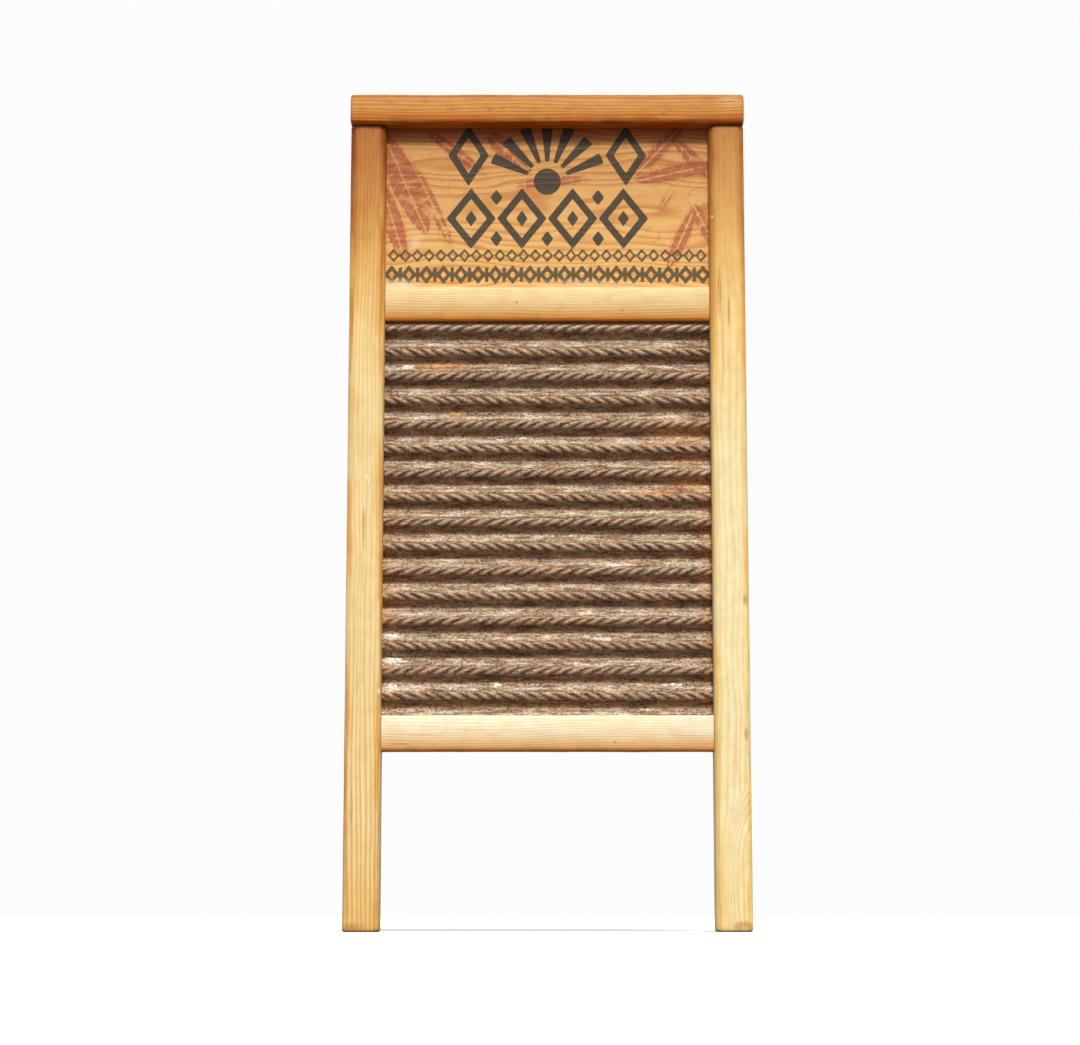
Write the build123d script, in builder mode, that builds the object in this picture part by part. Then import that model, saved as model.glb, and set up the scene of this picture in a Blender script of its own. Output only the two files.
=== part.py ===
from build123d import *
import os
from math import radians, tan

# A small washboard: two grooved legs under a full-width top rail, two crossbars
# between the legs, a thin crest panel above the upper crossbar and a corrugated
# metal rubbing sheet between the crossbars. Millimetres; +Z up the board,
# +X across it, the front faces -Y, origin under the middle of the feet.

# ---------------------------------------------------------------- driving sizes
inch = 25.4
board_height = 18 * inch
board_width = 217.0

rail_depth = 27.0
rail_height = 17.2
rail_edge_radius = 2.2
rail_end_ease = 0.8

leg_size = 19.8
leg_edge_radius = 3.6
leg_end_ease = 0.9

bar_height = 19.3
bar_crown_depth = 13.0
bar_edge_depth = 10.2
bar_edge_radius = 2.0
lower_bar_bottom = 3.75 * inch
upper_bar_bottom = 13 * inch

groove_width = 6.4
leg_groove_depth = 6.0
bar_groove_depth = 5.0
tongue_length = 5.5

panel_thickness = 6.4
panel_bite = 4.5

sheet_thickness = 0.5
sheet_side_bite = 5.5
ridge_pitch = 13.46
ridge_count = 16
top_ridge_drop = 2.5
flank_angle = 46
ridge_radius = 2.8
sheet_top_bite = 2.8
sheet_bottom_bite = 4.3

nail_length = 1.5 * inch
nail_radius = 1.0
nail_head_radius = 2.0
nail_head_height = 0.9
nail_tip_length = 3.0
rail_nail_offset = 4.5

# ---------------------------------------------------------------- derived sizes
leg_height = board_height - rail_height
leg_centre = (board_width - leg_size) / 2
clear_width = board_width - 2 * leg_size
lower_bar_top = lower_bar_bottom + bar_height
upper_bar_top = upper_bar_bottom + bar_height
half_groove = groove_width / 2


# ---------------------------------------------------------------- helpers
def cut_block(x_span, y_span, z_span):
    """Cut a square-sided groove, given by its low and high sides, from the open part."""
    spans = (x_span, y_span, z_span)
    centre = [(low + high) / 2 for low, high in spans]
    size = [high - low for low, high in spans]
    with Locations(tuple(centre)):
        Box(*size, mode=Mode.SUBTRACT)


def finish_node(node, name):
    """Label a finished piece and write it as its own STEP file."""
    node.part.label = name
    export_step(node.part, f"parts/{name}.step")


# ---------------------------------------------------------------- nails
# One wire nail, its flat head flush with z = 0 and its point downwards.
with BuildPart() as wire_nail:
    with BuildSketch(Plane.XZ):
        with BuildLine():
            Polyline(
                (0, 0),
                (nail_head_radius, 0),
                (nail_head_radius, -nail_head_height),
                (nail_radius, -nail_head_height),
                (nail_radius, nail_tip_length - nail_length),
                (0, -nail_length),
                close=True,
            )
        make_face()
    revolve(axis=Axis.Z)

# Two nails down through the top rail into the end of each leg.
with BuildPart() as top_rail_nails:
    with Locations((0, 0, board_height)):
        with GridLocations(2 * leg_centre, 2 * rail_nail_offset, 2, 2):
            add(wire_nail.part)


def bar_nails(bar_bottom):
    """One nail through the outer face of each leg into the crossbar's end."""
    mid_height = bar_bottom + bar_height / 2
    right_side = Location((board_width / 2, 0, mid_height), (0, 90, 0))
    left_side = Location((-board_width / 2, 0, mid_height), (0, -90, 0))
    with BuildPart() as nails:
        with Locations(right_side, left_side):
            add(wire_nail.part)
    return nails


upper_crossbar_nails = bar_nails(upper_bar_bottom)
lower_crossbar_nails = bar_nails(lower_bar_bottom)


# ---------------------------------------------------------------- legs
def make_leg(side):
    """A square leg with rounded corners, grooved from its top to the lower crossbar."""
    groove_floor = side * (clear_width / 2 + leg_groove_depth)
    inner_face = side * clear_width / 2
    with BuildPart() as leg:
        with BuildSketch() as section:
            with Locations((side * leg_centre, 0)):
                Rectangle(leg_size, leg_size)
            fillet(section.vertices(), leg_edge_radius)
        extrude(amount=leg_height)
        leg_ends = leg.faces().filter_by(Axis.Z)
        chamfer(leg_ends.edges(), leg_end_ease)
        cut_block(
            sorted((inner_face, groove_floor)),
            (-half_groove, half_groove),
            (lower_bar_bottom, leg_height),
        )
        add(top_rail_nails.part, mode=Mode.SUBTRACT)
        add(upper_crossbar_nails.part, mode=Mode.SUBTRACT)
        add(lower_crossbar_nails.part, mode=Mode.SUBTRACT)
    return leg


left_leg = make_leg(-1)
right_leg = make_leg(1)

# ---------------------------------------------------------------- top rail
# Capping both legs, as long as the board is wide, grooved below for the crest panel.
with BuildPart() as top_rail:
    with BuildSketch(Plane.YZ.offset(-board_width / 2)):
        with Locations((0, leg_height + rail_height / 2)):
            Rectangle(rail_depth, rail_height)
    extrude(amount=board_width)
    fillet(top_rail.edges().filter_by(Axis.X), rail_edge_radius)
    rail_ends = top_rail.faces().filter_by(Axis.X)
    chamfer(rail_ends.edges(), rail_end_ease)
    cut_block(
        (-clear_width / 2 - tongue_length, clear_width / 2 + tongue_length),
        (-half_groove, half_groove),
        (leg_height, leg_height + bar_groove_depth),
    )
    add(top_rail_nails.part, mode=Mode.SUBTRACT)


# ---------------------------------------------------------------- crossbars
def make_crossbar(bar_bottom, groove_sides, nails):
    """A crossbar with crowned faces and a stub tongue at each end.

    groove_sides names the long sides, "top" or "bottom", that are grooved.
    """
    bar_top = bar_bottom + bar_height
    bar_middle = bar_bottom + bar_height / 2
    edge = bar_edge_depth / 2
    crown = bar_crown_depth / 2
    with BuildPart() as bar:
        with BuildSketch(Plane.YZ.offset(-clear_width / 2)) as section:
            with BuildLine():
                Line((-edge, bar_bottom), (edge, bar_bottom))
                ThreePointArc((edge, bar_bottom), (crown, bar_middle), (edge, bar_top))
                Line((edge, bar_top), (-edge, bar_top))
                ThreePointArc((-edge, bar_top), (-crown, bar_middle), (-edge, bar_bottom))
            make_face()
            fillet(section.vertices(), bar_edge_radius)
        extrude(amount=clear_width)
        with Locations((0, 0, bar_middle)):
            Box(clear_width + 2 * tongue_length, groove_width, bar_height)
        full_length = (-clear_width / 2 - tongue_length, clear_width / 2 + tongue_length)
        groove_span = (-half_groove, half_groove)
        if "top" in groove_sides:
            cut_block(full_length, groove_span, (bar_top - bar_groove_depth, bar_top))
        if "bottom" in groove_sides:
            cut_block(full_length, groove_span, (bar_bottom, bar_bottom + bar_groove_depth))
        add(nails.part, mode=Mode.SUBTRACT)
    return bar


upper_crossbar = make_crossbar(upper_bar_bottom, ("top", "bottom"), upper_crossbar_nails)
lower_crossbar = make_crossbar(lower_bar_bottom, ("top",), lower_crossbar_nails)

# ---------------------------------------------------------------- crest panel
# A thin board held on all four sides by the grooves around it.
panel_bottom = upper_bar_top - panel_bite
panel_top = leg_height + panel_bite
with BuildPart() as crest_panel:
    with Locations((0, 0, (panel_bottom + panel_top) / 2)):
        Box(clear_width + 2 * tongue_length, panel_thickness, panel_top - panel_bottom)

# ---------------------------------------------------------------- rubbing sheet
# The sheet's centre line is a zigzag with rounded corners. Ridges point to -Y.
top_ridge = upper_bar_bottom - top_ridge_drop
zigzag_reach = ridge_pitch / 2 * tan(radians(flank_angle)) / 2
sheet_top = upper_bar_bottom + sheet_top_bite
sheet_bottom = lower_bar_top - sheet_bottom_bite


def zigzag(height):
    """Y of the unrounded zigzag at a height, lowest at each ridge."""
    phase = abs((top_ridge - height) / ridge_pitch + 0.5) % 1.0
    return zigzag_reach * (4 * abs(phase - 0.5) - 1)


corner_heights = [top_ridge - step * ridge_pitch / 2 for step in range(2 * ridge_count + 1)]
line_heights = [sheet_top] + corner_heights + [sheet_bottom]
with BuildPart() as rubbing_sheet:
    with BuildSketch(Plane.YZ.offset(-clear_width / 2 - sheet_side_bite)):
        with BuildLine():
            FilletPolyline(*[(zigzag(z), z) for z in line_heights], radius=ridge_radius)
            offset(amount=sheet_thickness / 2, side=Side.BOTH)
        make_face()
    extrude(amount=clear_width + 2 * sheet_side_bite)

# ---------------------------------------------------------------- output
os.makedirs("parts", exist_ok=True)
finish_node(left_leg, "left_leg")
finish_node(right_leg, "right_leg")
finish_node(top_rail, "top_rail")
finish_node(upper_crossbar, "upper_crossbar")
finish_node(lower_crossbar, "lower_crossbar")
finish_node(crest_panel, "crest_panel")
finish_node(rubbing_sheet, "rubbing_sheet")
finish_node(top_rail_nails, "top_rail_nails")
finish_node(upper_crossbar_nails, "upper_crossbar_nails")
finish_node(lower_crossbar_nails, "lower_crossbar_nails")
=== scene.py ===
import math

import bmesh
import bpy
import numpy as np
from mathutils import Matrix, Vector, noise


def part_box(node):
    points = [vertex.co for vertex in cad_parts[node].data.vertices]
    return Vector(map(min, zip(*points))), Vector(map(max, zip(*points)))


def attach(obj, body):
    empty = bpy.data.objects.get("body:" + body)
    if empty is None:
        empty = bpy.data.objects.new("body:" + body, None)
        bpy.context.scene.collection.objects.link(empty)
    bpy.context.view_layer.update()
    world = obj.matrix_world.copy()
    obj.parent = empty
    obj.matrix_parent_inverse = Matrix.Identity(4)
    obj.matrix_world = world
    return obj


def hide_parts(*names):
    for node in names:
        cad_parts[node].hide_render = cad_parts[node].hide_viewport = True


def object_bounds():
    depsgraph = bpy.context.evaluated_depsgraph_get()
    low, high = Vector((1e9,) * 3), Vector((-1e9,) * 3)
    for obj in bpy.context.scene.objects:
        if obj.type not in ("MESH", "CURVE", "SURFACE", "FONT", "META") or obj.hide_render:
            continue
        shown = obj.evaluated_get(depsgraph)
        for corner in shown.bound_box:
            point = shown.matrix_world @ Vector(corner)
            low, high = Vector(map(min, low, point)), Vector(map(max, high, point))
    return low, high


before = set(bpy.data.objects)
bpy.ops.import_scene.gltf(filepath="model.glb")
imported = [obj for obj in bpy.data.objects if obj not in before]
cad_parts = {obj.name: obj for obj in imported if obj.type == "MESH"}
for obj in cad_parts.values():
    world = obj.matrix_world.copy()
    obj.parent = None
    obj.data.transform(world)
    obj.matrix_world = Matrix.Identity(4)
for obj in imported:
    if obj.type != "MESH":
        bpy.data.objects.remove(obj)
cad_low, cad_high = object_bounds()

MM = 0.001
BOARD_WIDTH = (cad_high[0] - cad_low[0]) / MM


# ======================== small helpers
def srgb(red, green, blue):
    """A linear colour from the 0-255 values that a colour picker shows."""
    linear = []
    for value in (red, green, blue):
        share = value / 255
        low = share / 12.92
        high = ((share + 0.055) / 1.055) ** 2.4
        linear.append(low if share <= 0.04045 else high)
    return (*linear, 1.0)


def box_mm(node):
    """A CAD node's lowest and highest corners, as two arrays in millimetres."""
    low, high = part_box(node)
    return np.array(low) / MM, np.array(high) / MM


def smooth(value, low, high):
    """0 below low, 1 above high, and a smooth step between; works on arrays."""
    share = np.clip((value - low) / (high - low), 0, 1)
    return share * share * (3 - 2 * share)


def patches(x, z, places):
    """Soft spots, each (x, z, half width, half height, strength) in millimetres."""
    total = np.zeros_like(x)
    for place_x, place_z, wide, tall, strength in places:
        distance = ((x - place_x) / wide) ** 2 + ((z - place_z) / tall) ** 2
        total = np.maximum(total, strength * np.exp(-distance))
    return total


def noise_at(points, scale, seed):
    """Smooth noise, about -1 to 1, at points in millimetres; scale is millimetres."""
    shift = Vector((seed * 17.3, seed * 5.1, seed * 9.7))
    return np.array([noise.noise(Vector(p) / scale + shift) for p in points])


# ======================== material graphs
class Graph:
    """A Principled material whose node tree is built one call at a time."""

    def __init__(self, name):
        self.material = bpy.data.materials.new(name)
        self.material.use_nodes = True
        self.tree = self.material.node_tree
        self.tree.nodes.clear()
        output = self.tree.nodes.new("ShaderNodeOutputMaterial")
        self.shader = self.tree.nodes.new("ShaderNodeBsdfPrincipled")
        self.tree.links.new(self.shader.outputs[0], output.inputs["Surface"])

    def put(self, socket, value):
        if isinstance(value, bpy.types.NodeSocket):
            self.tree.links.new(value, socket)
        else:
            socket.default_value = value

    def node(self, kind, values, **settings):
        made = self.tree.nodes.new("ShaderNode" + kind)
        for key, value in settings.items():
            setattr(made, key, value)
        for key, value in values.items():
            self.put(made.inputs[key], value)
        return made

    def math(self, operation, *values):
        numbered = dict(enumerate(values))
        return self.node("Math", numbered, operation=operation).outputs[0]

    def add(self, first, second):
        return self.math("ADD", first, second)

    def times(self, first, second):
        return self.math("MULTIPLY", first, second)

    def most(self, first, second):
        return self.math("MAXIMUM", first, second)

    def step(self, value, low, high):
        """0 at low, 1 at high, smooth between; high may be the smaller."""
        inverted = high < low
        values = {"Value": value, "From Min": min(low, high), "From Max": max(low, high)}
        values["To Min"] = float(inverted)
        values["To Max"] = float(not inverted)
        made = self.node("MapRange", values, interpolation_type="SMOOTHSTEP")
        return made.outputs[0]

    def mix(self, factor, first, second, blend="MIX"):
        made = self.tree.nodes.new("ShaderNodeMix")
        made.data_type = "RGBA"
        made.blend_type = blend
        self.put(made.inputs[0], factor)
        self.put(made.inputs[6], first)
        self.put(made.inputs[7], second)
        return made.outputs[2]

    def ramp(self, factor, stops):
        """A colour ramp through (place, colour) stops."""
        made = self.node("ValToRGB", {"Fac": factor})
        elements = made.color_ramp.elements
        while len(elements) < len(stops):
            elements.new(0.5)
        for element, (place, colour) in zip(elements, stops):
            element.position = place
            element.color = colour
        return made.outputs[0]

    def millimetres(self):
        """The piece's own coordinates in millimetres, as x, y and z sockets."""
        place = self.node("TexCoord", {}).outputs["Object"]
        scaled = self.node("VectorMath", {0: place, 1: (1 / MM,) * 3}, operation="MULTIPLY")
        split = self.node("SeparateXYZ", {0: scaled.outputs[0]})
        return split.outputs[0], split.outputs[1], split.outputs[2]

    def point(self, x, y, z, sizes, seed=0.0):
        """A texture point from three sockets, each divided by its feature size in mm."""
        parts = {}
        for index, (value, size) in enumerate(zip((x, y, z), sizes)):
            parts[index] = self.math("MULTIPLY_ADD", value, 1 / size, seed * (index + 1.37))
        return self.node("CombineXYZ", parts).outputs[0]

    def noise(self, point, detail=2.0, roughness=0.5):
        values = {"Vector": point, "Scale": 1.0, "Detail": detail, "Roughness": roughness}
        return self.node("TexNoise", values).outputs[0]

    def cells(self, point):
        """Distance to the nearest of scattered points, for pits."""
        values = {"Vector": point, "Scale": 1.0, "Randomness": 1.0}
        return self.node("TexVoronoi", values).outputs["Distance"]

    def spot(self, across, length, centre, size):
        """1 in the middle of a soft oval, 0 outside it, in millimetres."""
        side = self.times(self.add(across, -centre[0]), 1 / size[0])
        rise = self.times(self.add(length, -centre[1]), 1 / size[1])
        distance = self.add(self.times(side, side), self.times(rise, rise))
        return self.step(distance, 1.0, 0.1)

    def attribute(self, name):
        return self.node("Attribute", {}, attribute_name=name).outputs["Fac"]

    def finish(self, colour, roughness, height, height_mm, **constants):
        """Wires colour, roughness and a bump of that many millimetres to the shader."""
        self.put(self.shader.inputs["Base Color"], colour)
        self.put(self.shader.inputs["Roughness"], roughness)
        bump = self.node("Bump", {"Height": height, "Strength": 1.0, "Distance": height_mm * MM})
        self.put(self.shader.inputs["Normal"], bump.outputs[0])
        for name, value in constants.items():
            self.shader.inputs[name.replace("_", " ")].default_value = value
        return self.material


# ======================== wood
KNOT_RISE = 9.0


def wood_fields(g, along, pith, spacing, seed, wander, knot=None):
    """Growth rings, fibre lines and broad patches of a piece cut from a log.

    along is the axis of the grain. pith is where the log's centre passes, in mm:
    its place on the piece's other wide axis, then on Y. knot is the middle and
    half size of a swelling that the rings bend round. Returns x, y and z in mm,
    and the others as 0-1 sockets.
    """
    x, y, z = g.millimetres()
    length, across = (z, x) if along == "Z" else (x, z)
    sway_point = g.point(length, across, y, (130, 30, 30), seed)
    sway = g.math("SUBTRACT", g.noise(sway_point, 2.0), 0.5)
    lean_point = g.point(length, across, y, (70, 18, 18), seed + 3.1)
    lean = g.math("SUBTRACT", g.noise(lean_point, 1.0), 0.5)
    side = g.math("MULTIPLY_ADD", sway, wander, g.add(across, -pith[0]))
    deep = g.math("MULTIPLY_ADD", lean, wander * 0.6, g.add(y, -pith[1]))
    radius = g.math("SQRT", g.add(g.times(side, side), g.times(deep, deep)))
    if knot:
        radius = g.math("MULTIPLY_ADD", g.spot(across, length, *knot), KNOT_RISE, radius)
    uneven_point = g.point(radius, length, y, (7, 400, 60), seed + 1.7)
    uneven = g.noise(uneven_point, 1.0)
    rings = g.math("MULTIPLY_ADD", uneven, 1.4, g.times(radius, 1 / spacing))
    share = g.math("FRACT", rings)
    late = g.times(g.step(share, 0.35, 0.88), g.step(share, 1.0, 0.92))
    fibre = g.noise(g.point(length, across, y, (14, 0.38, 0.38), seed + 5.3), 3.0, 0.65)
    streak = g.noise(g.point(length, across, y, (70, 1.5, 1.5), seed + 7.9), 2.0, 0.55)
    patch = g.noise(g.point(length, across, y, (60, 22, 22), seed + 2.3), 2.0)
    mottle = g.noise(g.point(length, across, y, (9, 6, 6), seed + 6.1), 4.0, 0.6)
    return {
        "x": x,
        "y": y,
        "z": z,
        "late": late,
        "fibre": fibre,
        "streak": streak,
        "patch": patch,
        "mottle": mottle,
    }


def wood_colour(g, f, tones):
    """Early wood, late-wood lines, fibre shading, soft blotches and darker streaks."""
    strength = g.math("MULTIPLY_ADD", f["patch"], 0.9, tones["contrast"] - 0.45)
    colour = g.mix(g.times(f["late"], strength), tones["early"], tones["late"])
    fibre_shade = g.ramp(f["fibre"], [(0.28, (0.78, 0.68, 0.54, 1)), (0.52, (1, 1, 1, 1))])
    colour = g.mix(tones["fibre"], colour, fibre_shade, "MULTIPLY")
    blotch = g.ramp(f["mottle"], [(0.35, (0.93, 0.86, 0.76, 1)), (0.60, (1, 1, 1, 1))])
    colour = g.mix(0.8, colour, blotch, "MULTIPLY")
    streaky = g.times(g.step(f["streak"], 0.60, 0.80), 0.6)
    return g.mix(streaky, colour, tones["streak"])


def finish_wood(g, f, colour, roughness=0.52, shine=0.30):
    lines = g.math("MULTIPLY_ADD", f["late"], 0.5, g.times(f["fibre"], 0.8))
    rough = g.math("MULTIPLY_ADD", f["fibre"], 0.16, roughness - 0.08)
    return g.finish(colour, rough, lines, 0.07, Specular_IOR_Level=shine)


STRAW = {
    "early": srgb(250, 224, 162),
    "late": srgb(228, 182, 112),
    "streak": srgb(214, 158, 86),
    "top_patina_and_shade": srgb(194, 154, 126),
    "yellow_from": (290, 400),
    "brown_from": (330, 445),
    "marks": (
        ((-99, 214), (0.9, 14)),
        ((-93, 388), (1.2, 9)),
        ((-104, 66), (1.0, 12)),
    ),
    "foot": srgb(248, 234, 206),
    "knot": None,
    "foot_lines": 0.55,
    "foot_stain": ((-101, 2), (9, 4)),
    "scuffs": (((-97.6, 243), (0.6, 1.8)), ((-96.6, 241), (0.5, 1.2)), ((-90, 127), (0.7, 2.0))),
    "edge": srgb(250, 203, 122),
    "contrast": 0.45,
    "fibre": 0.6,
}
CREAM = {
    "early": srgb(253, 236, 184),
    "late": srgb(238, 208, 146),
    "streak": srgb(222, 172, 102),
    "top_patina_and_shade": srgb(202, 165, 138),
    "yellow_from": (250, 380),
    "brown_from": (310, 445),
    "marks": (
        ((94, 345), (1.3, 17)),
        ((99, 333), (0.9, 12)),
        ((106, 104), (1.8, 4.5)),
        ((106, 176), (1.4, 3)),
    ),
    "foot": srgb(254, 248, 232),
    "knot": ((109, 22), (20, 58)),
    "foot_lines": 0.15,
    "foot_stain": ((103, 3), (7, 3.5)),
    "scuffs": (((90.5, 388), (0.5, 1.0)),),
    "edge": srgb(255, 230, 168),
    "contrast": 0.45,
    "fibre": 0.35,
}
HONEY = {
    "early": srgb(220, 158, 80),
    "late": srgb(182, 110, 44),
    "streak": srgb(140, 78, 34),
    "contrast": 0.65,
    "fibre": 0.9,
}
UPPER_BAR = {
    "early": srgb(242, 214, 158),
    "late": srgb(226, 182, 112),
    "streak": srgb(210, 152, 84),
    "contrast": 0.75,
    "fibre": 0.55,
    "spots": (((-16.8, 340.3), (0.9, 0.8)), ((41, 336.0), (1.0, 0.5))),
}
LOWER_BAR = {
    "early": srgb(250, 234, 202),
    "late": srgb(238, 208, 150),
    "streak": srgb(222, 176, 112),
    "contrast": 0.65,
    "fibre": 0.5,
    "spots": (((36, 100), (1.4, 0.5)), ((-78, 99), (6.0, 0.4))),
}
TAN = {
    "early": srgb(242, 190, 114),
    "late": srgb(214, 142, 74),
    "streak": srgb(200, 124, 68),
    "contrast": 0.75,
    "fibre": 0.5,
}


def leg_wood(name, seed, pith, tones):
    """Straw-coloured leg, more orange towards the top, partly patina and partly painted shade, and along
    its worn arrises.
    """
    g = Graph(name)
    f = wood_fields(g, "Z", pith, 1.9, seed, 8.0, tones["knot"])
    colour = wood_colour(g, f, tones)
    height = g.math("MULTIPLY_ADD", g.add(f["patch"], -0.5), 50.0, f["z"])
    # Partly patina, partly painted shade: the leg turns yellower, then browner, towards the top under the
    # rail.
    colour = g.mix(g.step(height, *tones["yellow_from"]), colour, srgb(255, 225, 170), "MULTIPLY")
    colour = g.mix(g.step(height, *tones["brown_from"]), colour, tones["top_patina_and_shade"], "MULTIPLY")
    lines = g.times(f["late"], g.step(height, 190, 50))
    colour = g.mix(g.times(lines, tones["foot_lines"]), colour, tones["streak"])
    colour = g.mix(g.step(height, 75, 0), colour, tones["foot"], "MULTIPLY")
    stain = g.times(g.spot(f["x"], f["z"], *tones["foot_stain"]), g.step(f["mottle"], 0.38, 0.56))
    colour = g.mix(g.times(stain, 0.6), colour, srgb(184, 120, 52))
    colour = g.mix(g.times(g.step(f["z"], 2.5, 0.5), 0.5), colour, srgb(196, 128, 60))
    edge = g.attribute("arris")
    edge_noise = g.noise(g.point(f["x"], f["y"], f["z"], (4, 4, 45), seed + 4.0), 3.0)
    worn = g.times(edge, g.step(edge_noise, 0.30, 0.66))
    colour = g.mix(worn, colour, tones["edge"], "MULTIPLY")
    aged_edge = g.times(worn, g.step(height, 280, 430))
    colour = g.mix(aged_edge, colour, srgb(196, 184, 170), "MULTIPLY")
    grime = g.times(g.attribute("joint"), g.step(f["mottle"], 0.25, 0.62))
    colour = g.mix(g.times(grime, 0.5), colour, srgb(120, 76, 44), "MULTIPLY")
    for place, size in tones["marks"]:
        mark = g.times(g.spot(f["x"], f["z"], place, size), g.step(f["fibre"], 0.70, 0.35))
        colour = g.mix(g.times(mark, 0.8), colour, srgb(168, 104, 48))
    for place, size in tones["scuffs"]:
        scuff = g.times(g.spot(f["x"], f["z"], place, size), g.step(f["y"], 0.0, -1.0))
        colour = g.mix(g.times(scuff, 0.85), colour, srgb(252, 246, 230))
    return finish_wood(g, f, colour)


def rail_wood():
    """Honey-brown rail, redder and darker towards its lower edges."""
    g = Graph("rail_wood")
    f = wood_fields(g, "X", (420, -12), 1.9, 8.2, 7.0)
    colour = wood_colour(g, f, HONEY)
    edge = g.attribute("lower_side")
    edge_noise = g.noise(g.point(f["x"], f["y"], f["z"], (14, 3, 3), 2.0), 3.0)
    worn = g.times(edge, g.step(edge_noise, 0.2, 0.55))
    colour = g.mix(worn, colour, srgb(255, 190, 128), "MULTIPLY")
    colour = g.mix(g.attribute("upper_side"), colour, srgb(214, 190, 148), "MULTIPLY")
    smudge_noise = g.noise(g.point(f["x"], f["y"], f["z"], (11, 4, 4), 9.0), 3.0, 0.6)
    smudge = g.times(g.step(smudge_noise, 0.56, 0.74), 0.45)
    colour = g.mix(smudge, colour, srgb(134, 80, 40))
    chips = g.times(g.spot(f["x"], f["z"], (101, 452), (10, 4.5)), g.step(f["fibre"], 0.50, 0.62))
    colour = g.mix(g.times(chips, 0.7), colour, srgb(244, 206, 150))
    return finish_wood(g, f, colour, 0.55, 0.2)


def crossbar_wood(name, seed, pith, tones):
    """Cream-topped crossbar that turns honey-orange towards its lower edge."""
    g = Graph(name)
    f = wood_fields(g, "X", pith, 1.35, seed, 7.0)
    colour = wood_colour(g, f, tones)
    low = g.attribute("lower_side")
    colour = g.mix(low, colour, srgb(255, 213, 152), "MULTIPLY")
    colour = g.mix(g.step(low, 0.86, 1.0), colour, srgb(255, 205, 148), "MULTIPLY")
    for place, size in tones["spots"]:
        colour = g.mix(g.times(g.spot(f["x"], f["z"], place, size), 0.6), colour, srgb(134, 84, 48))
    return finish_wood(g, f, colour)


# ------------------------ crest print
INK_DARK = srgb(68, 60, 42)
INK_FADED = srgb(96, 78, 40)
INK_RED = srgb(172, 60, 44)


def crest_wood():
    """Tan panel with wavy flat-sawn grain and a worn two-colour print."""
    g = Graph("crest_wood")
    f = wood_fields(g, "X", (395, -26), 2.9, 4.4, 26.0)
    colour = wood_colour(g, f, TAN)
    edge_wobble = g.noise(g.point(f["x"], f["z"], f["y"], (0.9, 0.9, 9), 1.0), 2.0)
    wobble = g.math("MULTIPLY_ADD", edge_wobble, 0.5, -0.25)
    coarse = g.noise(g.point(f["x"], f["z"], f["y"], (12, 6, 9), 3.0), 3.0, 0.6)
    red_worn = g.times(g.step(coarse, 0.22, 0.50), g.step(f["fibre"], 0.18, 0.44))
    red = g.step(g.add(g.attribute("red_ink"), wobble), 0.25, -0.25)
    line = g.step(g.add(g.attribute("red_line"), wobble), 0.2, -0.2)
    red_cover = g.most(g.times(red, red_worn), g.times(line, 0.6))
    colour = g.mix(g.times(red_cover, 0.72), colour, INK_RED)
    dark = g.step(g.add(g.attribute("dark_ink"), wobble), 0.16, -0.16)
    dark_worn = g.math("MULTIPLY_ADD", g.step(f["fibre"], 0.24, 0.44), 0.12, 0.85)
    ink = g.mix(g.step(f["z"], 374, 371), INK_DARK, INK_FADED)
    colour = g.mix(g.times(dark, dark_worn), colour, ink)
    colour = g.mix(g.step(f["z"], 366, 430), colour, srgb(230, 217, 205), "MULTIPLY")
    # Painted shade: the panel is darkened just under the rail, where the rail's shadow falls.
    colour = g.mix(g.step(f["z"], 428, 437), colour, srgb(212, 160, 116), "MULTIPLY")
    scuff = g.times(g.attribute("scuff"), g.step(f["mottle"], 0.30, 0.62))
    colour = g.mix(g.times(scuff, 0.75), colour, srgb(238, 222, 186))
    return finish_wood(g, f, colour, 0.42)


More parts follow.
